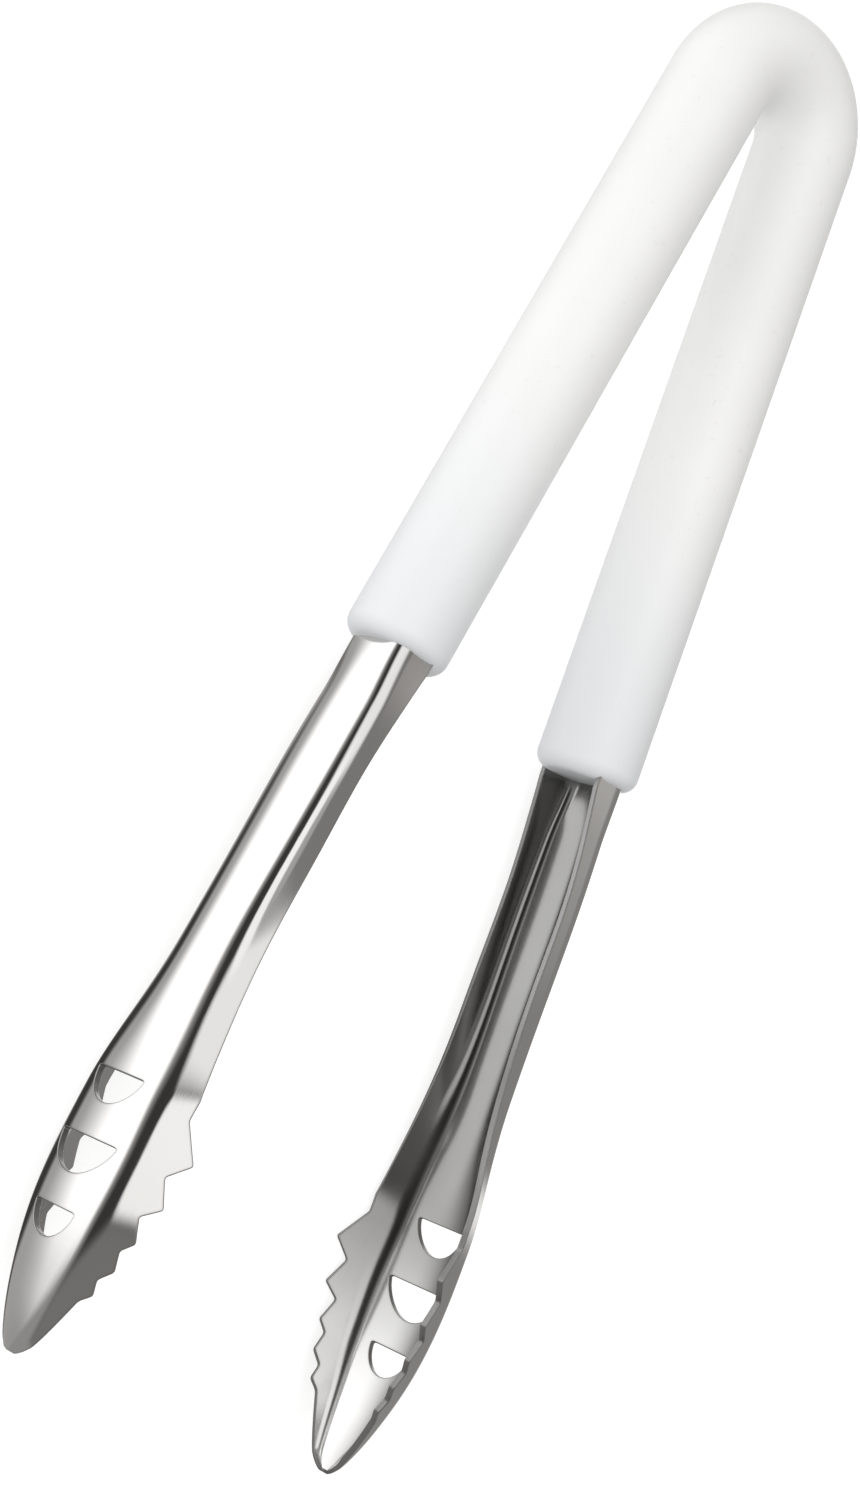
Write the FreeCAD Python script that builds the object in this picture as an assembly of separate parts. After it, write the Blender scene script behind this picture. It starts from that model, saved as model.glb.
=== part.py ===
import FreeCAD, Part
import math
import os

# Ice tongs: one stamped stainless strip bent into a bow with two channel
# arms that end in toothed, drained claw jaws, and a white moulded grip over
# the bow and the upper arms.  The tongs lie on their side: Z up, the bow at
# +Y, the tips at -Y, the two arms at -X and +X.  Origin: middle of the
# bottom of the bounding box.  Millimetres.

V = FreeCAD.Vector

# ---------------------------------------------------------------- dimensions
BOW_R = 11.2            # radius of the bow, to the centre of the strip
ARM_SPLAY = 6.12        # degrees each arm leans away from the middle
GRIP_R = 8.42           # radius of the round grip
GRIP_STRAIGHT = 108.3   # straight length of the grip on each arm
GRIP_END_R = 2.6        # rounding at the open end of the grip
SHEET = 1.0             # thickness of the steel
STRIP_HALF = 5.0        # half width of the strip in the bow
STRIP_FOLD = 0.8        # rounding length at the strip's edges
CROWN_HID = 0.0067      # crowning of the strip inside the grip: drop = crown * width^2
CROWN_ARM = 0.050       # crowning of the back of the open arm
CROWN_JAW = 0.012       # crowning of the back of the jaw
JAW_SIDES = 0.000173    # how much faster the jaw's back falls at the sides: * width^4
FOLD_HID = 3.2          # length of the fold between back and side wall, inside the grip
FOLD = 1.9              # the same in the open
TIP_AT = 221.4          # distance of the tip from the bow's centre
MIDPLANE = 13.43        # height of the arms' middle plane, lying down

# Side and plan of one arm.  s is the distance from the bow's centre toward
# the tip; out is how far the outside of the back lies from the middle plane;
# wide is half the width of the back; rim is how far the edge of the side
# walls lies from the middle plane; flare is how much wider the channel is at
# that edge than at the back.
ARM = [
    # s,     out,   wide, rim,   flare
    (108.0, 27.60, 6.40, 19.90, 0.58), (125.0, 29.85, 6.95, 23.40, 0.60),
    (140.0, 31.33, 6.80, 24.85, 0.84), (155.0, 32.83, 6.65, 26.50, 1.45),
    (168.0, 34.22, 7.40, 27.85, 2.42), (178.0, 35.20, 8.55, 28.65, 3.10),
    (186.0, 35.72, 9.25, 28.20, 3.00), (192.0, 35.95, 9.47, 27.90, 3.10),
    (198.0, 35.90, 8.95, 28.20, 3.02), (204.0, 35.44, 7.94, 28.60, 2.79),
    (210.0, 34.63, 6.41, 29.30, 2.14), (216.0, 33.62, 4.50, 30.20, 1.40),
    (220.0, 32.78, 2.75, 30.80, 0.80), (223.2, 32.05, 1.00, 31.10, 0.30),
]

# Rim of the side walls from the first tooth: distance s, distance from the
# middle plane.  Each tooth rises slowly and drops back steeply.
TEETH = [
    (181.9, 28.95),
    (187.5, 26.20), (190.4, 28.90),
    (194.7, 27.30), (196.8, 29.60),
    (200.5, 28.30), (202.2, 29.60),
    (205.2, 28.70), (207.1, 30.00),
    (209.4, 29.20), (210.8, 30.35),
]
# smooth rim from the last tooth to the tip
TAIL = [(214.0, 30.75), (217.5, 31.10), (220.0, 31.30), (222.5, 31.45)]

# Half-moon drain holes: distance of the straight side, half width, depth.
SLOTS = [
    (179.5, 5.85, 4.90),
    (189.6, 7.00, 5.55),
    (200.2, 5.00, 4.45),
]

# ------------------------------------------------------------------- frame
TOP = BOW_R + GRIP_R                     # bow's centre to the top of the grip
LENGTH = TOP + TIP_AT
Y_BOW = LENGTH / 2.0 - TOP               # the bow's centre in the frame
Z_MID = MIDPLANE                         # height of the arms' middle plane
SPLAY = math.radians(ARM_SPLAY)
ARC = math.pi / 2.0 - SPLAY              # angle of the bow on each side


def spline(xs, ys):
    """Natural cubic through a table, as a function of x."""
    n = len(xs)
    h = [xs[i + 1] - xs[i] for i in range(n - 1)]
    a = [0.0] * n
    b = [1.0] * n
    c = [0.0] * n
    d = [0.0] * n
    for i in range(1, n - 1):
        a[i] = h[i - 1]
        b[i] = 2.0 * (h[i - 1] + h[i])
        c[i] = h[i]
        d[i] = 6.0 * ((ys[i + 1] - ys[i]) / h[i] - (ys[i] - ys[i - 1]) / h[i - 1])
    for i in range(1, n):
        w = a[i] / b[i - 1]
        b[i] -= w * c[i - 1]
        d[i] -= w * d[i - 1]
    m = [0.0] * n
    for i in range(n - 1, -1, -1):
        m[i] = (d[i] - (c[i] * m[i + 1] if i < n - 1 else 0.0)) / b[i]

    def f(x):
        i = 0
        while i < n - 2 and x > xs[i + 1]:
            i += 1
        t0, t1 = xs[i + 1] - x, x - xs[i]
        return ((m[i] * t0 ** 3 + m[i + 1] * t1 ** 3) / (6.0 * h[i])
                + (ys[i] / h[i] - m[i] * h[i] / 6.0) * t0
                + (ys[i + 1] / h[i] - m[i + 1] * h[i] / 6.0) * t1)
    return f


def axis_at(s):
    """Grip axis of the right arm at distance s: its x."""
    x0 = BOW_R * math.sin(ARC)
    s0 = -BOW_R * math.cos(ARC)
    return x0 + (s - s0) * math.tan(SPLAY)


S_ARC = -BOW_R * math.cos(ARC)
# hidden part of the arm: the strip folds up into a channel inside the grip
HIDDEN = [
    # length along the arm from the bow, back to axis, half width, depth, flare
    (0.0, 0.5 * SHEET, STRIP_HALF, SHEET, 0.02),
    (6.0, 0.5 * SHEET, STRIP_HALF, SHEET, 0.02),
    (14.0, 0.80, 5.10, 1.45, 0.08),
    (24.0, 1.25, 5.30, 2.30, 0.20),
    (36.0, 1.80, 5.55, 3.25, 0.33),
    (50.0, 2.40, 5.80, 4.20, 0.45),
    (65.0, 3.00, 6.05, 5.10, 0.55),
    (80.0, 3.50, 6.25, 5.90, 0.62),
    (94.0, 3.90, 6.45, 6.60, 0.67),
]


def smooth(t):
    t = min(max(t, 0.0), 1.0)
    return t * t * (3.0 - 2.0 * t)


def crown_at(s):
    """Crowning of the back at distance s."""
    open_arm = CROWN_ARM + (CROWN_JAW - CROWN_ARM) * smooth((s - 158.0) / 24.0)
    return CROWN_HID + (open_arm - CROWN_HID) * smooth((s - 100.0) / 16.0)


def sides_at(s):
    return JAW_SIDES * smooth((s - 158.0) / 24.0)


def fold_at(s):
    """Length of the fold between back and wall at distance s."""
    hid = STRIP_FOLD + (FOLD_HID - STRIP_FOLD) * min(max(s / 48.0, 0.0), 1.0)
    return hid + (FOLD - hid) * smooth((s - 100.0) / 16.0)


def stations():
    """Every section of the arm: s, x, back to x, half width, depth, flare, lean."""
    rows = []
    for t, off, wide, deep, flare in HIDDEN:
        s = S_ARC + t * math.cos(SPLAY)
        rows.append((s, axis_at(s), off, wide, deep, flare, SPLAY * (1.0 - t / 110.0)))
    f = [spline([r[0] for r in ARM], [r[k] for r in ARM]) for k in (1, 2, 3, 4)]
    marks = [108.0, 115.0, 122.0, 129.0, 136.0, 144.0, 152.0, 160.0, 167.0, 173.5, 179.5, 185.0, 190.0,
             195.0, 200.0, 205.0, 210.0, 214.0, 217.5, 220.0, TIP_AT]
    for s in marks:
        out, wide, rim, flare = [g(s) for g in f]
        rows.append((s, out, 0.0, max(wide, 0.35), max(out - rim, 0.5), max(flare, 0.1), 0.0))
    return rows


def section_points(wide, deep, flare, crown, sides, fold, inset, extra):
    """Half outline of a channel: [(depth, half width)...] control points.

    inset moves the outline inward by the sheet thickness; extra carries the
    walls on past the rim."""
    kx, kz = crown * wide ** 2 + sides * wide ** 4, wide
    wx, wz = deep - kx, flare
    wl = math.hypot(wx, wz)
    ux, uz = wx / wl, wz / wl
    if inset > 0.0:
        # keeps the sheet's thickness
        crown, sides = crown + 2.0 * inset * crown ** 2, sides + 8.0 * inset * crown * sides
        # shift the wall inward, find where it meets the lowered back
        px, pz = kx + inset * uz, kz - inset * ux
        lo, hi = -3.0 * inset, wl
        for _ in range(60):
            mid = 0.5 * (lo + hi)
            x, z = px + ux * mid, pz + uz * mid
            if x < inset + crown * z ** 2 + sides * z ** 4:
                lo = mid
            else:
                hi = mid
        kx, kz = px + ux * hi, pz + uz * hi
        end = ((deep + 0.0) - kx) / ux if ux > 1e-6 else 0.5
        end = max(end, 0.3)
        base = inset
    else:
        end = wl
        base = 0.0
    r = min(fold, 0.72 * kz, 0.8 * end)
    if inset > 0.0:
        r = max(min(fold - 0.85 * inset, 0.72 * kz, 0.8 * end), 0.15)
    zb = kz - r * math.cos(math.atan(2.0 * crown * kz + 4.0 * sides * kz ** 3))
    zb = max(zb, 0.25 * kz)
    p0 = (base + crown * zb ** 2 + sides * zb ** 4, zb)
    slope = 2.0 * crown * zb + 4.0 * sides * zb ** 3
    # tangent of the back at p0 meets the wall line
    # wall: (kx,kz) + t*(ux,uz)
    den = ux - slope * uz
    t = (p0[0] + slope * (kz - p0[1]) - kx) / den if abs(den) > 1e-9 else 0.0
    p1 = (kx + t * ux, kz + t * uz)
    p2 = (kx + r * ux, kz + r * uz)
    p3 = (kx + (end + extra) * ux, kz + (end + extra) * uz)
    a, c = crown * zb ** 2, sides * zb ** 4
    return (base - c, 0.5 * zb), (base - a / 3.0 + c, 0.0), p0, p1, p2, p3


def wire_at(row, inset, extra):
    s, x, off, wide, deep, flare, lean = row
    b1, b0, p0, p1, p2, p3 = section_points(wide, deep, flare, crown_at(s), sides_at(s), fold_at(s), inset, extra)
    c, w = math.cos(lean), math.sin(lean)

    def at(p, side):
        d, z = p
        # depth is measured inward, square to the arm
        dd = off - d
        return V(x + dd * c, Y_BOW - s + dd * w, Z_MID + side * z)
    back = Part.BezierCurve()
    back.setPoles([at(p0, -1), at(b1, -1), at(b0, 1), at(b1, 1), at(p0, 1)])
    f1 = Part.BezierCurve()
    f1.setPoles([at(p0, 1), at(p1, 1), at(p2, 1)])
    f0 = Part.BezierCurve()
    f0.setPoles([at(p2, -1), at(p1, -1), at(p0, -1)])
    edges = [Part.makeLine(at(p3, -1), at(p2, -1)), f0.toShape(), back.toShape(), f1.toShape(),
             Part.makeLine(at(p2, 1), at(p3, 1)), Part.makeLine(at(p3, 1), at(p3, -1))]
    return Part.Wire(edges)


def solid_of(shape):
    s = shape.Solids
    if len(s) != 1:
        s = sorted(s, key=lambda q: -q.Volume)
    return s[0]


def righted(shape):
    """The same solid with its faces turned outward."""
    if shape.Volume < 0.0:
        shape = shape.reversed()
    return shape


def rim_cutter():
    """Side view of everything inside the rim of the walls, teeth included."""
    f = spline([r[0] for r in ARM], [r[3] for r in ARM])
    pts = []
    s = 104.0
    while s < TEETH[0][0] - 0.5:
        pts.append((f(max(s, 108.0)) if s >= 108.0 else f(108.0) - (108.0 - s) * (f(109.0) - f(108.0)), s))
        s += 6.0
    pts.append((TEETH[0][1], TEETH[0][0]))

    def v(p):
        return V(p[0], Y_BOW - p[1], Z_MID - 40.0)
    curve = Part.BSplineCurve()
    curve.interpolate([v(p) for p in pts])
    edges = [curve.toShape()]
    for a, b in zip(TEETH[:-1], TEETH[1:]):
        edges.append(Part.makeLine(v((a[1], a[0])), v((b[1], b[0]))))
    tail = [(r, s) for s, r in TAIL]
    curve = Part.BSplineCurve()
    curve.interpolate([v((TEETH[-1][1], TEETH[-1][0]))] + [v(p) for p in tail])
    edges.append(curve.toShape())
    last, first = tail[-1], pts[0]
    far = -30.0
    edges += [Part.makeLine(v(last), v((far, last[1]))), Part.makeLine(v((far, last[1])), v((far, first[1]))),
              Part.makeLine(v((far, first[1])), v(first))]
    face = Part.Face(Part.Wire(edges))
    return face.extrude(V(0, 0, 80.0))


def slot_cutter(s, half, deep, x0, x1):
    """Half-moon hole: straight side toward the bow, round side toward the tip."""
    y = Y_BOW - s
    a = V(x0, y, Z_MID - half)
    b = V(x0, y, Z_MID + half)
    m = V(x0, y - deep, Z_MID)
    arc = Part.Arc(b, m, a)
    face = Part.Face(Part.Wire([Part.makeLine(a, b), arc.toShape()]))
    hole = face.extrude(V(x1 - x0, 0, 0))
    try:
        corners = [e for e in hole.Edges if e.Length > x1 - x0 - 0.1 and e.Length < x1 - x0 + 0.1
                   and abs(e.Vertexes[0].Y - y) < 0.01]
        hole = hole.makeFillet(0.45, corners)
    except Exception:
        pass
    return hole


def steel_arm():
    """Right arm and jaw."""
    rows = stations()
    outer = []
    inner = []
    for r in rows:
        s = r[0]
        extra = 2.2 * min(max((s - 92.0) / 16.0, 0.0), 1.0)
        outer.append(wire_at(r, 0.0, extra))
        if r[4] > 1.35 * SHEET and r[3] > 2.2 * SHEET and s < TIP_AT - 1.0:
            inner.append(wire_at(r, SHEET, extra + 1.5))
    body = righted(Part.makeLoft(outer, True, False))
    hollow = righted(Part.makeLoft(inner, True, False))
    arm = body.cut(hollow)
    arm = arm.cut(righted(rim_cutter()))
    f = spline([r[0] for r in ARM], [r[1] for r in ARM])
    for s, half, deep in SLOTS:
        x = f(s)
        arm = arm.cut(righted(slot_cutter(s, half, deep, x - 4.2, x + 3.0)))
    return solid_of(arm), rows[0]


def mirrored(shape):
    return shape.mirror(V(0, 0, 0), V(1, 0, 0))


def main():
    os.makedirs("parts", exist_ok=True)
    arm_r, first = steel_arm()
    arm_l = solid_of(mirrored(arm_r))

    centre = V(0, Y_BOW, Z_MID)
    # the bow: the strip's section swept round the bow's centre
    start = Part.Face(wire_at(first, 0.0, 0.0))
    sweep = 2.0 * math.degrees(ARC)
    strip = start.revolve(centre, V(0, 0, 1), sweep)
    strip = solid_of(strip)

    # the grip over the bow
    ring_at = V(BOW_R * math.sin(ARC), Y_BOW + BOW_R * math.cos(ARC), Z_MID)
    along = V(math.sin(SPLAY), -math.cos(SPLAY), 0)
    disc = Part.Face(Part.Wire([Part.Circle(ring_at, along, GRIP_R).toShape()]))
    ring = solid_of(disc.revolve(centre, V(0, 0, 1), sweep))
    grip_bow = solid_of(ring.cut(strip))

    # the grip over each arm
    tube = Part.makeCylinder(GRIP_R, GRIP_STRAIGHT, ring_at, along)
    end = ring_at + along * GRIP_STRAIGHT
    rim = [e for e in tube.Edges if abs((e.CenterOfMass - end).Length) < 0.01]
    tube = tube.makeFillet(GRIP_END_R, rim)
    grip_r = solid_of(tube.cut(arm_r))
    grip_l = solid_of(mirrored(grip_r))

    nodes = {
        "spring_bow": strip,
        "grip_bow": grip_bow,
        "arm_left": arm_l,
        "arm_right": arm_r,
        "grip_left": grip_l,
        "grip_right": grip_r,
    }
    for name, shape in nodes.items():
        shape.exportStep(os.path.join("parts", name + ".step"))
        b = shape.BoundBox
        print("%-12s vol %9.1f valid %s faces %d  x %.2f %.2f  y %.2f %.2f  z %.2f %.2f" % (
            name, shape.Volume, shape.isValid(), len(shape.Faces), b.XMin, b.XMax, b.YMin, b.YMax, b.ZMin, b.ZMax))


main()
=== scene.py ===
import bpy
import math
import numpy as np
from mathutils import Vector, Matrix
from mathutils.geometry import delaunay_2d_cdt


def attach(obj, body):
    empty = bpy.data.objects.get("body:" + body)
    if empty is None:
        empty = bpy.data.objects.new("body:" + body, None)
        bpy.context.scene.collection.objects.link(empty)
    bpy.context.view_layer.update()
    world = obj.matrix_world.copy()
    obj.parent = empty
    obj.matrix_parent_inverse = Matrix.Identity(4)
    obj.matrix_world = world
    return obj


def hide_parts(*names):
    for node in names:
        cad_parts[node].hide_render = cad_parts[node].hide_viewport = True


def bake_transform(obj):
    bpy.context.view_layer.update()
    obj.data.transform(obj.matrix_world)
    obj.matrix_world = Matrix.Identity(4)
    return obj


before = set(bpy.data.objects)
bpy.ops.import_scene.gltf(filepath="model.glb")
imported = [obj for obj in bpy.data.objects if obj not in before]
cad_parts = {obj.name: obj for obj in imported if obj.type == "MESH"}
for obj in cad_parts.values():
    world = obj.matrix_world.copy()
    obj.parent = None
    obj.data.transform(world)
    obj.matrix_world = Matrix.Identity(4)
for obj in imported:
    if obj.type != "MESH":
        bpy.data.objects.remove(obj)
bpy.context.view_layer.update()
MM = 0.001

# ------------------------------------------------------------------ geometry
# The same driving sizes as the CAD source, in millimetres.
BOW_R, GRIP_R, GRIP_STRAIGHT, GRIP_END_R = 11.2, 8.42, 108.3, 2.6
SPLAY = math.radians(6.12)
SHEET, STRIP_HALF, TIP_AT, Z_MID = 1.0, 5.0, 221.4, 13.43
CROWN, JAW_SIDES, FOLD = (0.0067, 0.050, 0.012), 0.000173, (3.2, 1.9)      # inside the grip, in the open, in the jaw
TOP = BOW_R + GRIP_R
Y_BOW = (TOP + TIP_AT) / 2.0 - TOP
ARC = math.pi / 2.0 - SPLAY
S_ARC = -BOW_R * math.cos(ARC)
EDGE = 0.17             # rounding of the sheet's cut edges
ARM = np.array([
    (108.0, 27.60, 6.40, 19.90, 0.58), (125.0, 29.85, 6.95, 23.40, 0.60),
    (140.0, 31.33, 6.80, 24.85, 0.84), (155.0, 32.83, 6.65, 26.50, 1.45),
    (168.0, 34.22, 7.40, 27.85, 2.42), (178.0, 35.20, 8.55, 28.65, 3.10),
    (186.0, 35.72, 9.25, 28.20, 3.00), (192.0, 35.95, 9.47, 27.90, 3.10),
    (198.0, 35.90, 8.95, 28.20, 3.02), (204.0, 35.44, 7.94, 28.60, 2.79),
    (210.0, 34.63, 6.41, 29.30, 2.14), (216.0, 33.62, 4.50, 30.20, 1.40),
    (220.0, 32.78, 2.75, 30.80, 0.80), (223.2, 32.05, 1.00, 31.10, 0.30)])
TEETH = [(181.9, 28.95), (187.5, 26.20), (190.4, 28.90), (194.7, 27.30), (196.8, 29.60),
         (200.5, 28.30), (202.2, 29.60), (205.2, 28.70), (207.1, 30.00), (209.4, 29.20),
         (210.8, 30.35)]
TAIL = [(214.0, 30.75), (217.5, 31.10), (220.0, 31.30), (222.5, 31.45)]
SLOTS = [(179.5, 5.85, 4.90), (189.6, 7.00, 5.55), (200.2, 5.00, 4.45)]
HIDDEN = [
    (0.0, 0.5, 5.0, 1.0, 0.02), (6.0, 0.5, 5.0, 1.0, 0.02), (14.0, 0.80, 5.10, 1.45, 0.08),
    (24.0, 1.25, 5.30, 2.30, 0.20), (36.0, 1.80, 5.55, 3.25, 0.33), (50.0, 2.40, 5.80, 4.20, 0.45),
    (65.0, 3.00, 6.05, 5.10, 0.55), (80.0, 3.50, 6.25, 5.90, 0.62), (94.0, 3.90, 6.45, 6.60, 0.67)]
MARKS = [108.0, 115.0, 122.0, 129.0, 136.0, 144.0, 152.0, 160.0, 167.0, 173.5, 179.5, 185.0, 190.0,
         195.0, 200.0, 205.0, 210.0, 214.0, 217.5, 220.0, TIP_AT]


def spline(xs, ys):
    """Natural cubic through a table, as a vectorised function."""
    xs, ys = np.asarray(xs, float), np.asarray(ys, float)
    n = len(xs)
    h = np.diff(xs)
    a = np.zeros((n, n))
    d = np.zeros(n)
    a[0, 0] = a[-1, -1] = 1.0
    for i in range(1, n - 1):
        a[i, i - 1], a[i, i], a[i, i + 1] = h[i - 1], 2 * (h[i - 1] + h[i]), h[i]
        d[i] = 6 * ((ys[i + 1] - ys[i]) / h[i] - (ys[i] - ys[i - 1]) / h[i - 1])
    m = np.linalg.solve(a, d)

    def f(x):
        x = np.asarray(x, float)
        i = np.clip(np.searchsorted(xs, x) - 1, 0, n - 2)
        t0, t1 = xs[i + 1] - x, x - xs[i]
        return ((m[i] * t0 ** 3 + m[i + 1] * t1 ** 3) / (6 * h[i])
                + (ys[i] / h[i] - m[i] * h[i] / 6) * t0
                + (ys[i + 1] / h[i] - m[i + 1] * h[i] / 6) * t1)
    return f


def axis_at(s):
    return BOW_R * math.sin(ARC) + (s - S_ARC) * math.tan(SPLAY)


ARM_F = [spline(ARM[:, 0], ARM[:, k]) for k in (1, 2, 3, 4)]


def opening(s):
    """0 inside the grip, 1 where the arm is in the open."""
    t = np.clip((np.asarray(s, float) - 100.0) / 16.0, 0.0, 1.0)
    return t * t * (3 - 2 * t)


def station_rows():
    rows = []
    for t, off, wide, deep, flare in HIDDEN:
        s = S_ARC + t * math.cos(SPLAY)
        lean = SPLAY * (1.0 - t / 110.0)
        rows.append((s, axis_at(s) + off * math.cos(lean), -s + off * math.sin(lean), wide, deep, flare, lean))
    for s in MARKS:
        out, wide, rim, flare = [float(g(s)) for g in ARM_F]
        rows.append((s, out, -s, max(wide, 0.35), max(out - rim, 0.5), max(flare, 0.1), 0.0))
    return np.array(rows)


ROWS = station_rows()
ROW_F = [spline(ROWS[:, 0], ROWS[:, k]) for k in range(1, 7)]


def smooth_min(a, b, k=0.25):
    return 0.5 * (a + b - np.sqrt((a - b) ** 2 + k * k))


TIP_ROUND = 2.6


def section(s):
    """Shape of the channel at distance s, all arrays: apex position, width, walls and folds."""
    s = np.asarray(s, float)
    ax, ay, wide, deep, flare, lean = [g(s) for g in ROW_F]
    lean = np.where(s > 107.9, 0.0, lean)
    end = np.clip((s - (TIP_AT - TIP_ROUND)) / TIP_ROUND, 0.0, 1.0)
    g = np.sqrt(np.maximum(1.0 - end ** 2.2, 0.0))
    wide = np.maximum(wide, 0.35) * g + 0.02
    flare = np.maximum(flare, 0.02) * g
    deep = np.maximum(deep, 0.5)
    mixed = opening(s)
    jaw = np.clip((s - 158.0) / 24.0, 0.0, 1.0)
    jaw = jaw * jaw * (3 - 2 * jaw)
    crown = CROWN[0] + (CROWN[1] + (CROWN[2] - CROWN[1]) * jaw - CROWN[0]) * mixed
    fold = np.interp(s, [-50, 0, 48, 300], [0.8, 0.8, FOLD[0], FOLD[0]]) * (1 - mixed) + FOLD[1] * mixed
    quart = JAW_SIDES * jaw
    kx = crown * wide ** 2 + quart * wide ** 4
    wx, wz = np.maximum(deep - kx, 0.3), flare
    wl = np.hypot(wx, wz)
    ux, uz = wx / wl, wz / wl
    r = smooth_min(smooth_min(fold, 0.72 * wide, 0.1), 0.8 * wl, 0.1)
    r = np.maximum(r, 0.01)
    zb = np.maximum(wide - r * np.cos(np.arctan(2 * crown * wide + 4 * quart * wide ** 3)), 0.25 * wide)
    p0x, p0z = crown * zb ** 2 + quart * zb ** 4, zb
    slope = 2 * crown * zb + 4 * quart * zb ** 3
    den = ux - slope * uz
    t = (p0x + slope * (wide - zb) - kx) / den
    p1x, p1z = kx + t * ux, wide + t * uz
    p2x, p2z = kx + r * ux, wide + r * uz
    lf = 0.5 * (np.hypot(p2x - p0x, p2z - p0z) + np.hypot(p1x - p0x, p1z - p0z) + np.hypot(p2x - p1x, p2z - p1z))
    lf = np.maximum(lf, 1e-3)
    return dict(ax=ax, ay=ay, wide=wide, deep=deep, lean=lean, kx=kx, crown=crown, quart=quart, ux=ux, uz=uz, r=r, zb=zb, lf=lf,
                p0x=p0x, p0z=p0z, p1x=p1x, p1z=p1z, p2x=p2x, p2z=p2z)


def outer(s, w):
    """Point of the right arm's outside, w measured across the sheet from the middle line."""
    q = section(s)
    a = np.abs(w)
    zb, lf = q["zb"], q["lf"]
    z1 = np.minimum(a, zb)
    d1 = q["crown"] * z1 ** 2 + q["quart"] * z1 ** 4
    t = np.clip((a - zb) / lf, 0.0, 1.0)
    bx = (1 - t) ** 2 * q["p0x"] + 2 * t * (1 - t) * q["p1x"] + t * t * q["p2x"]
    bz = (1 - t) ** 2 * q["p0z"] + 2 * t * (1 - t) * q["p1z"] + t * t * q["p2z"]
    v = np.maximum(a - zb - lf, 0.0)
    wx, wz = q["p2x"] + v * q["ux"], q["p2z"] + v * q["uz"]
    d = np.where(a <= zb, d1, np.where(a <= zb + lf, bx, wx))
    z = np.where(a <= zb, z1, np.where(a <= zb + lf, bz, wz))
    c, sn = np.cos(q["lean"]), np.sin(q["lean"])
    return np.stack([q["ax"] - d * c, Y_BOW + q["ay"] - d * sn, Z_MID + np.sign(w) * z], -1)


def frame_of(s, w):
    """Point, unit normal (its side is set later, away from the channel) and the two tangents."""
    h = 0.02
    p = outer(s, w)
    ds = (outer(s + h, w) - outer(s - h, w)) / (2 * h)
    # stay on one side of the middle line's absolute value by symmetric steps
    dw = (outer(s, w + h) - outer(s, w - h)) / (2 * h)
    n = np.cross(ds, dw)
    ln = np.linalg.norm(n, axis=-1, keepdims=True)
    n = n / np.maximum(ln, 1e-12)
    flip = np.where(n[..., 0:1] * 1.0 + 0 * n[..., 1:2] == 0, 1.0, 1.0)
    return p, n * flip, ds, dw


def w_at_depth(s, depth):
    """Distance across the sheet to a wall point that lies depth below the apex."""
    q = section(s)
    return q["zb"] + q["lf"] + (depth - q["p2x"]) / q["ux"]


def w_at_z(s, z):
    """Distance across the sheet to the back or fold point with half width z."""
    q = section(s)
    a = np.abs(z)
    lo, hi = np.zeros_like(a), np.ones_like(a)
    for _ in range(40):
        t = 0.5 * (lo + hi)
        bz = (1 - t) ** 2 * q["p0z"] + 2 * t * (1 - t) * q["p1z"] + t * t * q["p2z"]
        lo, hi = np.where(bz < a, t, lo), np.where(bz < a, hi, t)
    return np.sign(z) * np.where(a <= q["zb"], a, q["zb"] + lo * q["lf"])


def filleted(points, leg, steps=4):
    """Polyline with its inner corners rounded."""
    out = [points[0]]
    for i in range(1, len(points) - 1):
        a, b, c = map(np.array, (points[i - 1], points[i], points[i + 1]))
        la, lc = np.linalg.norm(a - b), np.linalg.norm(c - b)
        la, lc = min(leg, 0.45 * la), min(leg, 0.45 * lc)
        p, q = b + (a - b) / np.linalg.norm(a - b) * la, b + (c - b) / np.linalg.norm(c - b) * lc
        for k in range(steps + 1):
            t = k / steps
            out.append((1 - t) ** 2 * p + 2 * t * (1 - t) * b + t * t * q)
    out.append(points[-1])
    return np.array([np.array(p, float) for p in out])


def resampled(points, gap):
    """Polyline with long runs divided, its own points kept."""
    out = [points[0]]
    for a, b in zip(points[:-1], points[1:]):
        n = max(1, int(math.ceil(np.linalg.norm(b - a) / gap)))
        for k in range(1, n + 1):
            out.append(a + (b - a) * k / n)
    return np.array(out)


def rim_line():
    """Rim of the side walls as (s, depth) from the hidden end to the tip."""
    hid = [(s, float(ROW_F[3](s))) for s in np.linspace(S_ARC, 100.0, 40)]
    f_rim, f_out = ARM_F[2], ROW_F[0]
    vis = [(s, float(f_out(s) - f_rim(s))) for s in np.arange(108.0, 180.5, 1.5)]
    first = TEETH[0]
    tail = [TEETH[-1]] + TAIL
    ft = spline([p[0] for p in tail], [p[1] for p in tail])
    teeth = filleted([np.array((179.0, float(f_rim(179.0))))] + [np.array(p) for p in TEETH]
                     + [np.array((212.0, float(ft(212.0))))], 0.42)
    vis = [p for p in vis if p[0] < 178.5]
    teeth = [(s, float(f_out(s)) - x) for s, x in teeth]
    rest = []
    for s in list(np.arange(212.8, 219.6, 0.8)) + list(TIP_AT - 1.8 * np.linspace(1, 0.12, 9) ** 1.6):
        rest.append((s, float(f_out(s)) - float(ft(s))))
    return np.array(hid + vis + teeth + rest)


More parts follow.
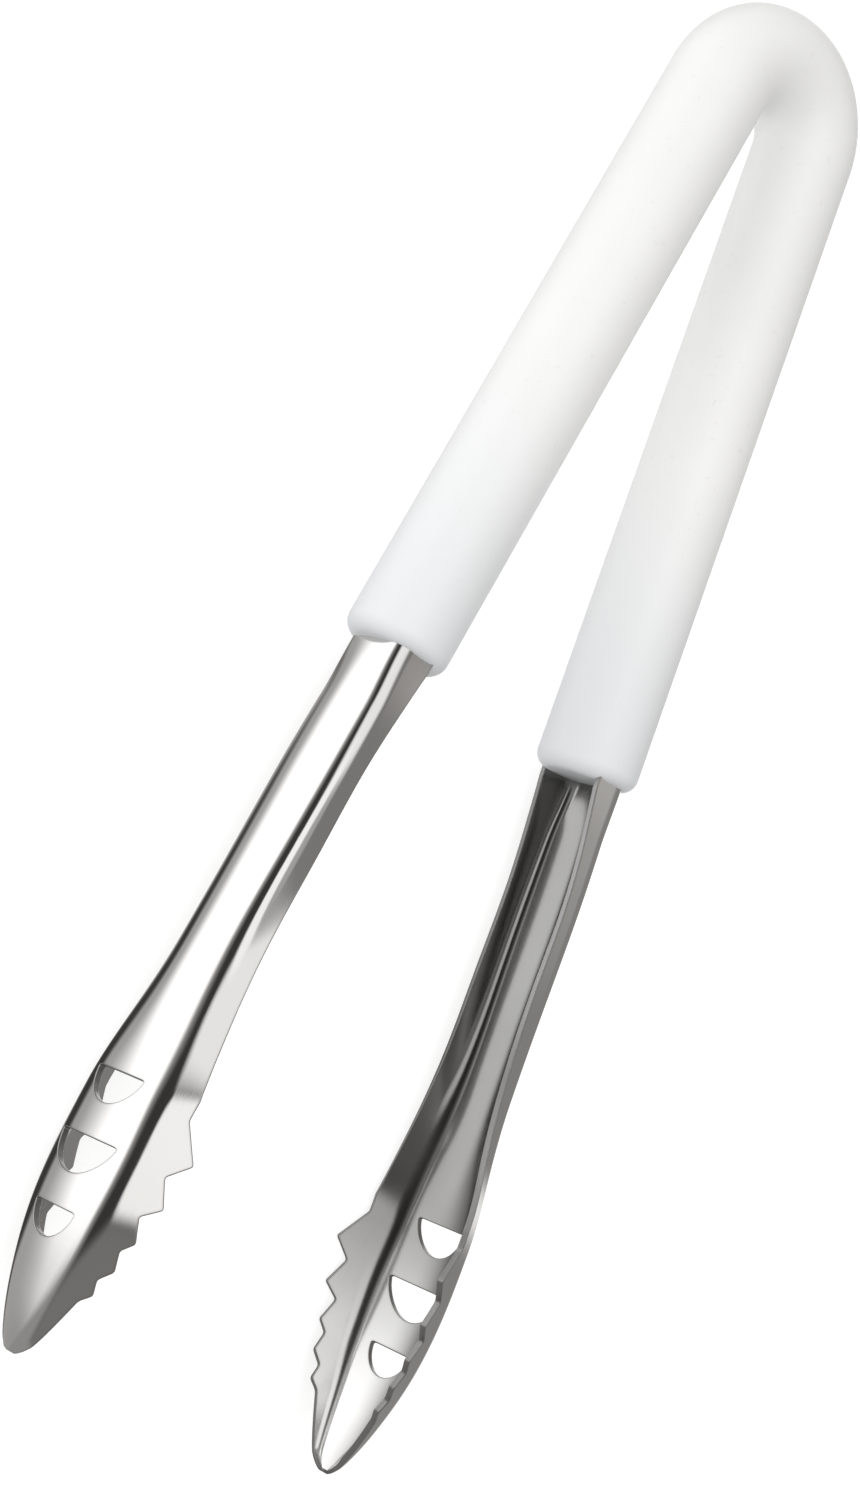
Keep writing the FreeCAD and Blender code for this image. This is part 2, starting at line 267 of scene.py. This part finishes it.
def arm_mesh():
    """Right arm: vertices (mm), faces, normals, and how near a cut edge each vertex is."""
    rim = rim_line()
    rim = resampled(rim, 0.9) if False else rim
    s, depth = rim[:, 0], rim[:, 1]
    w = w_at_depth(s, depth)
    line = np.stack([s, w], 1)
    vis = line[:, 0] > 100.0
    line = np.concatenate([line[~vis], resampled(line[vis], 0.8)])
    # the whole outline: lower wall from the hidden end to the tip, then back along the upper wall
    loop = np.concatenate([line * [1, -1], line[::-1]])
    end = loop[0], loop[-1]
    close = resampled(np.array([end[1], end[0]]), 1.2)[1:-1]
    loop = np.concatenate([loop, close])

    def inset(poly, amount):
        prev, nxt = np.roll(poly, 1, 0), np.roll(poly, -1, 0)
        t = nxt - prev
        t /= np.maximum(np.linalg.norm(t, axis=1, keepdims=True), 1e-9)
        nrm = np.stack([t[:, 1], -t[:, 0]], 1)      # right of the direction of travel
        area = 0.5 * np.sum(poly[:, 0] * nxt[:, 1] - nxt[:, 0] * poly[:, 1])
        out = nrm if area > 0 else -nrm             # away from the enclosed area
        return poly - out * amount, out
    loop_in, loop_out = inset(loop, EDGE)
    holes = []
    for s0, half, deep in SLOTS:
        rr = (half * half + deep * deep) / (2 * deep)
        ang = math.asin(min(1.0, half / rr)) if deep < rr else math.pi - math.asin(half / rr)
        arc = [np.array((s0 + deep - rr + rr * math.cos(a), rr * math.sin(a))) for a in np.linspace(ang, -ang, 41)]
        pts = [arc[0] * 0.5 + arc[-1] * 0.5] + arc + [arc[0] * 0.5 + arc[-1] * 0.5]
        # round the two corners where the straight side meets the arc
        start, stop = np.array((s0, half)), np.array((s0, -half))
        poly = [start * 0.0 + (np.array((s0, 0.0)))]
        body = arc[1:-1]
        corner = filleted([np.array((s0, 0.0)), start, body[1]], 0.75, 6)
        corner2 = filleted([body[-2], stop, np.array((s0, 0.0))], 0.75, 6)
        poly = np.concatenate([corner[:-1], np.array([b for b in body[2:-2] if b[0] > s0 + 0.62]), corner2[1:-1]])
        poly = resampled(np.concatenate([poly, poly[:1]]), 0.55)[:-1]
        grown, out = inset(poly, -EDGE)             # into the sheet
        hole = np.stack([grown[:, 0], w_at_z(grown[:, 0], grown[:, 1])], 1)
        holes.append((hole, -out))                  # from the sheet toward the hole
    # grid of points inside
    srows = list(np.arange(2.0, 100.0, 3.5)) + list(np.arange(100.8, 172.0, 1.1)) + list(
        np.arange(172.6, 219.0, 0.62)) + [219.4, 219.9, 220.3, 220.6, 220.85]
    pts = []
    lw = np.interp(srows, line[:, 0], line[:, 1])
    for i, (sv, wr) in enumerate(zip(srows, lw)):
        q = section(sv)
        zb, lf = float(q["zb"]), float(q["lf"])
        nb = max(2, int(round(zb / (0.7 if sv > 170 else 0.95))))
        cols = list(np.arange(0, nb) * zb / nb)
        nf = max(3, int(round(lf / 0.36)))
        cols += list(zb + np.arange(0, nf) * lf / nf)
        left = wr - zb - lf
        if left > 0:
            nw = max(1, int(round(left / 0.75)))
            cols += list(zb + lf + np.arange(0, nw) * left / nw)
        for c in cols:
            pts.append((sv, c))
            if c > 0:
                pts.append((sv, -c))
    pts = np.array(pts)

    def inside(p, poly):
        x, y = p[:, 0], p[:, 1]
        res = np.zeros(len(p), bool)
        for a, b in zip(poly, np.roll(poly, -1, 0)):
            c = (a[1] > y) != (b[1] > y)
            with np.errstate(divide="ignore", invalid="ignore"):
                xi = (b[0] - a[0]) * (y - a[1]) / (b[1] - a[1]) + a[0]
            res ^= c & (x < xi)
        return res

    def near(p, poly, gap):
        d = np.full(len(p), 1e9)
        for a, b in zip(poly, np.roll(poly, -1, 0)):
            ab = b - a
            t = np.clip(((p - a) @ ab) / max(ab @ ab, 1e-12), 0, 1)
            d = np.minimum(d, np.linalg.norm(p - a - t[:, None] * ab, axis=1))
        return d
    keep = inside(pts, loop_in) & (near(pts, loop_in, 0.3) > 0.26)
    for hole, _ in holes:
        keep &= ~inside(pts, hole) & (near(pts, hole, 0.3) > 0.26)
    pts = pts[keep]
    loops = [(loop_in, loop_out)] + holes
    verts2, edges, starts = [], [], []
    for poly, _ in loops:
        k = len(verts2)
        starts.append(k)
        verts2 += [tuple(p) for p in poly]
        edges += [(k + i, k + (i + 1) % len(poly)) for i in range(len(poly))]
    verts2 += [tuple(p) for p in pts]
    got = delaunay_2d_cdt([Vector(p) for p in verts2], edges, [], 0, 1e-6)
    co = np.array([tuple(v) for v in got[0]])
    tri = np.array([f for f in got[2] if len(f) == 3])
    where = {}
    for i, ids in enumerate(got[3]):
        for j in ids:
            where[j] = i
    mid = co[tri].mean(1)
    ok = inside(mid, loop_in)
    for hole, _ in holes:
        ok &= ~inside(mid, hole)
    tri = tri[ok]
    s, w = co[:, 0], co[:, 1]
    p, n, ds, dw = frame_of(s, w)
    # the cut edges' outline lets the inner side thin out toward the tip
    thick = np.minimum(SHEET, 0.5 * np.interp(s, line[:, 0], np.interp(line[:, 0], rim[:, 0], rim[:, 1])))
    thick = np.maximum(thick, 0.2)
    # make the normals point away from the channel
    probe = p[:, 0] + 0
    centre = np.stack([section(s)["ax"] - 0.5 * section(s)["deep"], p[:, 1], np.full(len(s), Z_MID)], 1)
    sign = np.sign(np.sum((p - centre) * n, 1, keepdims=True))
    n = n * sign
    inner = p - n * thick[:, None]
    N = len(p)
    # orientation of the triangles: make their own normal agree with n
    fn = np.cross(p[tri[:, 1]] - p[tri[:, 0]], p[tri[:, 2]] - p[tri[:, 0]])
    bad = np.sum(fn * n[tri].mean(1), 1) < 0
    tri[bad] = tri[bad][:, ::-1]
    used = np.zeros(N, bool)
    used[tri.ravel()] = True
    V3 = [p, inner]
    NN = [n, -n]
    edge = np.full(N, 9.0)
    for poly, _ in loops:
        edge = np.minimum(edge, near(co, poly, 1.0))
    E = [edge, edge]
    I = [np.zeros(N), np.ones(N)]
    faces = [tuple(t) for t in tri] + [tuple((t[::-1] + N)) for t in tri]
    count = 2 * N
    angles = [math.radians(a) for a in (25, 50, 72, 90)]
    for (poly, outw), k0 in zip(loops, starts):
        idx = np.array([where[k0 + i] for i in range(len(poly))])
        e = ds[idx] * outw[:, 0:1] + dw[idx] * outw[:, 1:2]
        e -= n[idx] * np.sum(e * n[idx], 1, keepdims=True)
        e /= np.linalg.norm(e, axis=1, keepdims=True)
        rr = np.minimum(EDGE, 0.4 * thick[idx])[:, None]
        rings = [idx]
        for a in angles:
            V3.append(p[idx] + e * rr * math.sin(a) - n[idx] * rr * (1 - math.cos(a)))
            NN.append(n[idx] * math.cos(a) + e * math.sin(a))
            E.append(np.full(len(idx), -1.0))
            I.append(np.zeros(len(idx)))
            rings.append(np.arange(count, count + len(idx)))
            count += len(idx)
        for a in angles[::-1]:
            V3.append(inner[idx] + e * rr * math.sin(a) + n[idx] * rr * (1 - math.cos(a)))
            NN.append(-n[idx] * math.cos(a) + e * math.sin(a))
            E.append(np.full(len(idx), -1.0))
            I.append(np.full(len(idx), 0.5))
            rings.append(np.arange(count, count + len(idx)))
            count += len(idx)
        rings.append(idx + N)
        m = len(idx)
        a0, a1 = idx[0], idx[1]
        # does the sheet lie left or right of this loop?  take it from a triangle on the edge
        fwd = any((t[0] == a0 and t[1] == a1) or (t[1] == a0 and t[2] == a1) or (t[2] == a0 and t[0] == a1)
                  for t in tri)
        for ra, rb in zip(rings[:-1], rings[1:]):
            for i in range(m):
                j = (i + 1) % m
                quad = (ra[j], ra[i], rb[i], rb[j])
                faces.append(quad if fwd else quad[::-1])
    V3, NN, E, I = [np.concatenate(q) for q in (V3, NN, E, I)]
    # drop vertices no face uses
    use = np.zeros(len(V3), bool)
    for f in faces:
        for i in f:
            use[i] = True
    remap = np.cumsum(use) - 1
    faces = [tuple(int(remap[i]) for i in f) for f in faces]
    return V3[use], faces, NN[use], E[use], I[use]


# ------------------------------------------------------------------ grip and strip
def path(u):
    """Centre line of the right half from the crown: u is the length along it.  Point and direction."""
    u = np.asarray(u, float)
    la = BOW_R * ARC
    phi = np.clip(u, 0, la) / BOW_R
    x, y = BOW_R * np.sin(phi), Y_BOW + BOW_R * np.cos(phi)
    over = np.maximum(u - la, 0.0)
    dx, dy = np.cos(phi), -np.sin(phi)
    return np.stack([x + over * dx, y + over * dy], -1), np.stack([dx, dy], -1)


def grip_mesh():
    """Right half of the moulded grip, from the crown to its rounded open end."""
    la = BOW_R * ARC
    total = la + GRIP_STRAIGHT
    r, e = GRIP_R, GRIP_END_R
    us = list(np.linspace(0, la, 37)) + list(np.linspace(la, total - e - 1.0, 84)[1:]) + [total - e - 0.4]
    prof = [(u, r, 0.0) for u in us]
    for k in range(0, 15):
        a = math.radians(90.0 * k / 14)
        prof.append((total - e + e * math.sin(a), r - e + e * math.cos(a), a))
    # the end face dishes in a little toward the steel, as the moulding shrinks onto it
    for rr, dip in ((5.5, 0.0), (5.0, 0.01), (4.3, 0.04), (3.4, 0.07), (2.4, 0.08), (1.2, 0.08)):
        prof.append((total - dip, rr, math.pi / 2))
    K = 96
    th = np.arange(K) * 2 * math.pi / K
    V, N, U = [], [], []
    for u, rad, a in prof:
        c, d = path(min(u, total))
        side = np.array([-d[1], d[0]])      # outward of the bow
        ring_n = np.stack([np.cos(th) * side[0], np.cos(th) * side[1], np.sin(th)], 1)
        axis = np.array([d[0], d[1], 0.0])
        p = np.array([c[0], c[1], Z_MID]) + ring_n * rad
        V.append(p)
        N.append(ring_n * math.cos(a) + axis * math.sin(a))
        U.append(np.full(K, u))
    c, d = path(total)
    V.append(np.array([[c[0] - d[0] * 0.08, c[1] - d[1] * 0.08, Z_MID]]))
    N.append(np.array([[d[0], d[1], 0.0]]))
    n_ring = len(prof)
    tip = n_ring * K
    faces = []
    for i in range(n_ring - 1):
        for k in range(K):
            a, b = i * K + k, i * K + (k + 1) % K
            faces.append((a, b, b + K, a + K))
    last = (n_ring - 1) * K
    for k in range(K):
        faces.append((last + k, last + (k + 1) % K, tip))
    V, N = np.concatenate(V), np.concatenate(N)
    # closed at the crown, where the two halves meet
    hub = len(V)
    V = np.concatenate([V, V[:K], [[0.0, Y_BOW + BOW_R, Z_MID]]])
    N = np.concatenate([N, np.tile([[-1.0, 0, 0]], (K + 1, 1))])
    for k in range(K):
        faces.append((hub + (k + 1) % K, hub + k, hub + K))
    return V, faces, N


def strip_mesh():
    """Right half of the steel strip inside the bow, its long edges rounded."""
    la = BOW_R * ARC
    us = np.linspace(0, la, 33)
    h, t, e = STRIP_HALF, 0.5 * SHEET, 0.3
    sec, nor = [], []
    for cx, cz, a0 in ((t - e, h - e, 0), (-(t - e), h - e, 90), (-(t - e), -(h - e), 180), (t - e, -(h - e), 270)):
        for k in range(5):
            a = math.radians(a0 + 22.5 * k)
            sec.append((cx + e * math.cos(a), cz + e * math.sin(a)))
            nor.append((math.cos(a), math.sin(a)))
    sec, nor = np.array(sec), np.array(nor)
    V, N, faces = [], [], []
    K = len(sec)
    for u in us:
        c, d = path(u)
        side = np.array([-d[1], d[0]])
        V.append(np.stack([c[0] + sec[:, 0] * side[0], c[1] + sec[:, 0] * side[1], Z_MID + sec[:, 1]], 1))
        N.append(np.stack([nor[:, 0] * side[0], nor[:, 0] * side[1], nor[:, 1]], 1))
    for i in range(len(us) - 1):
        for k in range(K):
            a, b = i * K + k, i * K + (k + 1) % K
            faces.append((a, b, b + K, a + K))
    faces.append(tuple(range(K))[::-1])
    m = (len(us) - 1) * K
    faces.append(tuple(range(m, m + K)))
    return np.concatenate(V), faces, np.concatenate(N)


def outward(V, faces, N):
    """Turns every face so that it agrees with its vertices' normals."""
    out = []
    for f in faces:
        p = V[list(f)]
        n = np.zeros(3)
        for i in range(1, len(f) - 1):
            n += np.cross(p[i] - p[0], p[i + 1] - p[0])
        out.append(tuple(f) if n @ N[list(f)].sum(0) >= 0 else tuple(f)[::-1])
    return out


def piece(name, V, faces, N, material, extra=None):
    me = bpy.data.meshes.new(name)
    me.from_pydata((V * MM).tolist(), [], faces)
    me.materials.append(material)
    me.polygons.foreach_set("use_smooth", np.ones(len(me.polygons), bool))
    for key, value in (extra or {}).items():
        a = me.attributes.new(key, "FLOAT", "POINT")
        a.data.foreach_set("value", np.asarray(value, np.float32))
    me.update()
    N = N / np.linalg.norm(N, axis=1, keepdims=True)
    me.normals_split_custom_set_from_vertices(N.tolist())
    ob = bpy.data.objects.new(name, me)
    bpy.context.scene.collection.objects.link(ob)
    return ob


def mirror(V, faces, N):
    return V * [-1, 1, 1], [tuple(f)[::-1] for f in faces], N * [-1, 1, 1]


# ------------------------------------------------------------------ materials
def new_material(name):
    m = bpy.data.materials.new(name)
    m.use_nodes = True
    nt = m.node_tree
    return m, nt, nt.nodes, nt.links, nt.nodes["Principled BSDF"]


def node(nt, kind, **values):
    n = nt.nodes.new(kind)
    for k, v in values.items():
        if k in n.inputs:
            n.inputs[k].default_value = v
        else:
            setattr(n, k, v)
    return n


def mapped(nt, scale):
    co = node(nt, "ShaderNodeTexCoord")
    mp = node(nt, "ShaderNodeMapping")
    mp.inputs["Scale"].default_value = scale
    nt.links.new(co.outputs["Object"], mp.inputs["Vector"])
    return mp.outputs["Vector"]


def noise(nt, vector, scale, detail=3.0, rough=0.5):
    n = node(nt, "ShaderNodeTexNoise")
    n.inputs["Scale"].default_value = scale
    n.inputs["Detail"].default_value = detail
    n.inputs["Roughness"].default_value = rough
    nt.links.new(vector, n.inputs["Vector"])
    return n.outputs["Fac"]


def remap(nt, value, a, b, c, d):
    n = node(nt, "ShaderNodeMapRange")
    for k, v in (("From Min", a), ("From Max", b), ("To Min", c), ("To Max", d)):
        n.inputs[k].default_value = v
    nt.links.new(value, n.inputs["Value"])
    return n.outputs["Result"]


def math_node(nt, op, a, b):
    n = node(nt, "ShaderNodeMath")
    n.operation = op
    for i, v in enumerate((a, b)):
        if isinstance(v, (int, float)):
            n.inputs[i].default_value = v
        else:
            nt.links.new(v, n.inputs[i])
    return n.outputs[0]


def mix_colour(nt, fac, a, b):
    n = node(nt, "ShaderNodeMix")
    n.data_type = "RGBA"
    nt.links.new(fac, n.inputs[0])
    for i, v in ((6, a), (7, b)):
        if isinstance(v, tuple):
            n.inputs[i].default_value = v
        else:
            nt.links.new(v, n.inputs[i])
    return n.outputs[2]


def steel_material():
    m, nt, nodes, links, bsdf = new_material("polished_steel")
    bsdf.inputs["Metallic"].default_value = 1.0
    bsdf.inputs["IOR"].default_value = 2.4
    plain = mapped(nt, (1, 1, 1))
    long_ = mapped(nt, (1, 0.035, 1))
    cross = mapped(nt, (1.0, 0.25, 0.6))
    # faint lengthwise buffing lines and wider smears
    fine = noise(nt, long_, 5200.0, 2.0, 0.6)
    wide = noise(nt, cross, 90.0, 4.0, 0.55)
    smear = noise(nt, plain, 38.0, 3.0, 0.5)
    edge = node(nt, "ShaderNodeAttribute", attribute_name="edge").outputs["Fac"]
    # colour: a warm-to-cool drift
    drift = remap(nt, smear, 0.3, 0.7, 0.0, 1.0)
    col = mix_colour(nt, drift, (0.80, 0.79, 0.775, 1), (0.845, 0.84, 0.835, 1))
    cut = remap(nt, edge, -0.6, 0.25, 1.0, 0.0)
    # the inside of the channel is left as rolled, so it is rougher; its dark grey colour is painted shade in the
    # channel's recess
    inside_finish_and_shade = node(nt, "ShaderNodeAttribute", attribute_name="inside").outputs["Fac"]
    inside_shade_colour = mix_colour(nt, drift, (0.315, 0.312, 0.306, 1), (0.355, 0.353, 0.348, 1))
    # ... and the painted shade gives way to bright steel toward the tip
    xyz = node(nt, "ShaderNodeSeparateXYZ")
    links.new(plain, xyz.inputs[0])
    inside_shade_colour = mix_colour(nt, remap(nt, xyz.outputs[1], -0.082, -0.110, 0.0, 1.0), inside_shade_colour, (0.86, 0.855, 0.85, 1))
    # painted shade: the inside of the channel takes the dark grey colour
    col = mix_colour(nt, inside_finish_and_shade, col, inside_shade_colour)
    col = mix_colour(nt, cut, col, (0.40, 0.395, 0.39, 1))
    links.new(col, bsdf.inputs["Base Color"])
    rough = math_node(nt, "ADD", remap(nt, wide, 0.35, 0.72, 0.045, 0.085), remap(nt, fine, 0.5, 0.85, 0.0, 0.05))
    rough = math_node(nt, "ADD", rough, math_node(nt, "MULTIPLY", cut, 0.30))
    rough = math_node(nt, "ADD", rough, math_node(nt, "MULTIPLY", inside_finish_and_shade, 0.09))
    links.new(rough, bsdf.inputs["Roughness"])
    # stamped sheet is never quite flat: slow waves, and a fine grain of buffing
    b1 = node(nt, "ShaderNodeBump")
    b1.inputs["Strength"].default_value = 0.35
    b1.inputs["Distance"].default_value = 0.00022
    links.new(noise(nt, cross, 55.0, 2.0, 0.4), b1.inputs["Height"])
    b2 = node(nt, "ShaderNodeBump")
    b2.inputs["Strength"].default_value = 0.12
    b2.inputs["Distance"].default_value = 0.000012
    links.new(fine, b2.inputs["Height"])
    links.new(b1.outputs["Normal"], b2.inputs["Normal"])
    links.new(b2.outputs["Normal"], bsdf.inputs["Normal"])
    return m


def plastic_material():
    m, nt, nodes, links, bsdf = new_material("white_plastic")
    bsdf.inputs["IOR"].default_value = 1.47
    plain = mapped(nt, (1, 1, 1))
    long_ = mapped(nt, (1, 0.25, 1))
    cloud = noise(nt, plain, 26.0, 3.0, 0.5)
    flow = noise(nt, long_, 120.0, 3.0, 0.55)
    grain = noise(nt, plain, 2600.0, 2.0, 0.5)
    speck = noise(nt, plain, 900.0, 1.0, 0.4)
    a = mix_colour(nt, remap(nt, cloud, 0.3, 0.7, 0.0, 1.0), (0.865, 0.866, 0.862, 1), (0.90, 0.90, 0.895, 1))
    a = mix_colour(nt, remap(nt, flow, 0.55, 0.8, 0.0, 0.5), a, (0.845, 0.85, 0.85, 1))
    a = mix_colour(nt, remap(nt, speck, 0.70, 0.78, 0.0, 0.25), a, (0.74, 0.73, 0.70, 1))
    # painted shade: the grip turns darker and a little cooler toward its open ends
    xyz = node(nt, "ShaderNodeSeparateXYZ")
    links.new(plain, xyz.inputs[0])
    a = mix_colour(nt, remap(nt, xyz.outputs[1], 0.045, -0.006, 0.0, 0.85), a, (0.775, 0.790, 0.815, 1))
    links.new(a, bsdf.inputs["Base Color"])
    r = math_node(nt, "ADD", remap(nt, flow, 0.3, 0.75, 0.36, 0.46), remap(nt, grain, 0.4, 0.8, 0.0, 0.08))
    links.new(r, bsdf.inputs["Roughness"])
    b1 = node(nt, "ShaderNodeBump")
    b1.inputs["Strength"].default_value = 0.25
    b1.inputs["Distance"].default_value = 0.00025
    links.new(noise(nt, long_, 60.0, 2.0, 0.45), b1.inputs["Height"])
    b2 = node(nt, "ShaderNodeBump")
    b2.inputs["Strength"].default_value = 0.18
    b2.inputs["Distance"].default_value = 0.00003
    links.new(grain, b2.inputs["Height"])
    links.new(b1.outputs["Normal"], b2.inputs["Normal"])
    links.new(b2.outputs["Normal"], bsdf.inputs["Normal"])
    return m


steel, plastic = steel_material(), plastic_material()

V, F, N, E, I = arm_mesh()
edge = np.clip(E, -1.0, 1.5)
# painted shade: the right arm's inside takes the full dark grey colour, the left arm's inside only a little of it
arm_r = piece("steel_arm_right", V, F, N, steel, {"edge": edge, "inside": I})
arm_l = piece("steel_arm_left", *mirror(V, F, N), steel, {"edge": edge, "inside": I * 0.15})
V, F, N = grip_mesh()
F = outward(V, F, N)
grip_r = piece("grip_half_right", V, F, N, plastic)
grip_l = piece("grip_half_left", *mirror(V, F, N), plastic)
V, F, N = strip_mesh()
F = outward(V, F, N)
edge = np.full(len(V), 1.5)
strip_r = piece("bow_strip_right", V, F, N, steel, {"edge": edge, "inside": edge * 0})
strip_l = piece("bow_strip_left", *mirror(V, F, N), steel, {"edge": edge, "inside": edge * 0})

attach(arm_r, "right_arm")
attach(arm_l, "left_arm")
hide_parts("arm_right")
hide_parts("arm_left")
START_Y, REACH = 103.6, 14.0
for sign, body, parts in ((1, "right_arm", (grip_r, strip_r)), (-1, "left_arm", (grip_l, strip_l))):
    a = (0.0, START_Y * MM, Z_MID * MM)
    for ob in parts:
        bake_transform(ob)
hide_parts("grip_right", "grip_bow")
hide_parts("grip_left", "grip_bow")
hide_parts("spring_bow")
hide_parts("spring_bow")


# ------------------------------------------------------------------ floor, light, camera
def floor_material():
    m, nt, nodes, links, bsdf = new_material("pale_floor")
    v = mapped(nt, (1, 1, 1))
    links.new(mix_colour(nt, noise(nt, v, 9.0, 3.0), (0.43, 0.43, 0.43, 1), (0.45, 0.45, 0.45, 1)), bsdf.inputs["Base Color"])
    bsdf.inputs["Roughness"].default_value = 0.9
    bsdf.inputs["Specular IOR Level"].default_value = 0.1
    bsdf.inputs["Emission Color"].default_value = (1.0, 1.0, 1.0, 1.0)      # a lit table
    bsdf.inputs["Emission Strength"].default_value = 0.74
    return m


TILT = 0.0249           # the bow end stands this much higher per metre of length
TOUCH = -0.0866         # where the first teeth touch the floor
me = bpy.data.meshes.new("floor")
R0 = 1.6
me.from_pydata([(x, y, TILT * (y - TOUCH)) for x, y in ((-R0, -R0), (R0, -R0), (R0, R0), (-R0, R0))], [], [(0, 1, 2, 3)])
me.materials.append(floor_material())
floor = bpy.data.objects.new("floor", me)
bpy.context.scene.collection.objects.link(floor)
floor.visible_glossy = False


# the studio round the table: a white wall to the left, a window and a ceiling
# light, a dark side behind the camera, grey to the right, dark under the tongs
world = bpy.data.worlds.new("studio")
bpy.context.scene.world = world
world.use_nodes = True
nt = world.node_tree
co = nt.nodes.new("ShaderNodeTexCoord")
xyz = nt.nodes.new("ShaderNodeSeparateXYZ")
nt.links.new(co.outputs["Generated"], xyz.inputs[0])


def soft_step(value, a, b, c=0.0, d=1.0):
    n = nt.nodes.new("ShaderNodeMapRange")
    n.interpolation_type = "SMOOTHSTEP"
    for k, v in (("From Min", a), ("From Max", b), ("To Min", c), ("To Max", d)):
        n.inputs[k].default_value = v
    nt.links.new(value, n.inputs["Value"])
    return n.outputs["Result"]


def toward(x, y, z):
    n = nt.nodes.new("ShaderNodeVectorMath")
    n.operation = "DOT_PRODUCT"
    n.inputs[1].default_value = Vector((x, y, z)).normalized()
    nt.links.new(co.outputs["Generated"], n.inputs[0])
    return n.outputs["Value"]


def round_from(az):
    """Cosine of the angle round the vertical from an azimuth."""
    a = math.radians(az)
    n = nt.nodes.new("ShaderNodeVectorMath")
    n.operation = "DOT_PRODUCT"
    n.inputs[1].default_value = (math.cos(a), math.sin(a), 0.0)
    nt.links.new(level.outputs["Vector"], n.inputs[0])
    return n.outputs["Value"]


def times(a, b):
    n = nt.nodes.new("ShaderNodeMath")
    n.operation = "MULTIPLY"
    nt.links.new(a, n.inputs[0])
    nt.links.new(b, n.inputs[1])
    return n.outputs[0]


# Directions are given as azimuth (0 = +X, 90 = +Y) and height, in degrees.  Each
# layer covers the ones before it where all its soft edges are open: "z" runs
# over the sine of the height, "az" over the cosine of the angle round from an
# azimuth, "at" over the cosine of the angle from a point of the studio.
LAYERS = [
    ((0.305, 0.300, 0.293), []),                                              # dim room
    ((1.320, 1.320, 1.320), [("az", 160, 0.62, 0.93)]),                       # white wall, left
    ((1.450, 1.446, 1.438), [("az", 28, 0.70, 0.92), ("z", -0.24, -0.46)]),   # table edge, right
    ((0.242, 0.236, 0.228), [("az", 28, 0.55, 0.90), ("z", -0.46, -0.24)]),   # grey, right
    ((0.400, 0.395, 0.388), [("z", -0.66, -0.93)]),                           # under the tongs
    ((0.045, 0.044, 0.043), [("z", -0.945, -0.99)]),
    ((0.300, 0.294, 0.286), [("z", 0.14, 0.42), ("az", 178, -0.10, 0.50)]),   # behind the camera
    ((0.042, 0.040, 0.039), [("z", 0.34, 0.62), ("az", 178, -0.10, 0.50)]),
    ((0.190, 0.185, 0.178), [("z", 0.14, 0.60), ("az", -95, 0.40, 0.80)]),
    ((0.500, 0.488, 0.472), [("z", 0.35, 0.70), ("az", 10, 0.30, 0.85)]),
    ((0.215, 0.209, 0.202), [("z", 0.80, 0.90), ("az", 30, 0.30, 0.80)]),
    ((0.930, 0.928, 0.920), [("at", 105, 55, 0.86, 0.94)]),                   # window
    ((1.050, 1.046, 1.038), [("at", 172, 71, 0.955, 0.978)]),                 # ceiling light
    ((0.400, 0.397, 0.393), [("z", 0.965, 0.985)]),
]

flat = nt.nodes.new("ShaderNodeVectorMath")
flat.operation = "MULTIPLY"
flat.inputs[1].default_value = (1.0, 1.0, 0.0)
nt.links.new(co.outputs["Generated"], flat.inputs[0])
level = nt.nodes.new("ShaderNodeVectorMath")
level.operation = "NORMALIZE"
nt.links.new(flat.outputs["Vector"], level.inputs[0])


def open_edge(value, a, b):
    return soft_step(value, a, b) if a < b else soft_step(value, b, a, 1.0, 0.0)


sky = None
for colour, edges in LAYERS:
    colour = tuple(colour) + (1.0,)
    if sky is None:
        sky = colour
        continue
    mask = None
    for e in edges:
        if e[0] == "z":
            m = open_edge(xyz.outputs[2], e[1], e[2])
        elif e[0] == "az":
            m = open_edge(round_from(e[1]), e[2], e[3])
        else:
            a, h = math.radians(e[1]), math.radians(e[2])
            m = open_edge(toward(math.cos(a) * math.cos(h), math.sin(a) * math.cos(h), math.sin(h)), e[3], e[4])
        mask = m if mask is None else times(mask, m)
    sky = mix_colour(nt, mask, sky, colour)
nt.links.new(sky, nt.nodes["Background"].inputs["Color"])
nt.nodes["Background"].inputs["Strength"].default_value = 1.0


def softbox(name, at, look, size, power, size_y=None, colour=(1, 1, 1), seen=True):
    li = bpy.data.lights.new(name, "AREA")
    li.shape = "RECTANGLE"
    li.size, li.size_y = size, size_y or size
    li.energy = power
    li.color = colour
    ob = bpy.data.objects.new(name, li)
    bpy.context.scene.collection.objects.link(ob)
    ob.location = at
    ob.rotation_mode = "QUATERNION"
    ob.rotation_quaternion = (Vector(look) - Vector(at)).to_track_quat("-Z", "Y")
    ob.visible_glossy = seen
    return ob


softbox("top", (-0.52, -0.15, 1.2), (0, 0, 0), 1.2, 11.9, seen=False)

cam = bpy.data.cameras.new("camera")
cam.lens = 67.62
cam.sensor_width = 36.0
cam.clip_start, cam.clip_end = 0.01, 20.0
camera = bpy.data.objects.new("camera", cam)
bpy.context.scene.collection.objects.link(camera)
camera.matrix_world = Matrix((
    (0.66708, -0.42486, -0.61196, -0.26879),
    (0.40909, 0.89542, -0.17572, -0.08886),
    (0.62262, -0.13313, 0.77112, 0.34135),
    (0, 0, 0, 1)))
bpy.context.scene.camera = camera
bpy.context.scene.view_settings.view_transform = "Standard"
bpy.context.scene.view_settings.look = "None"
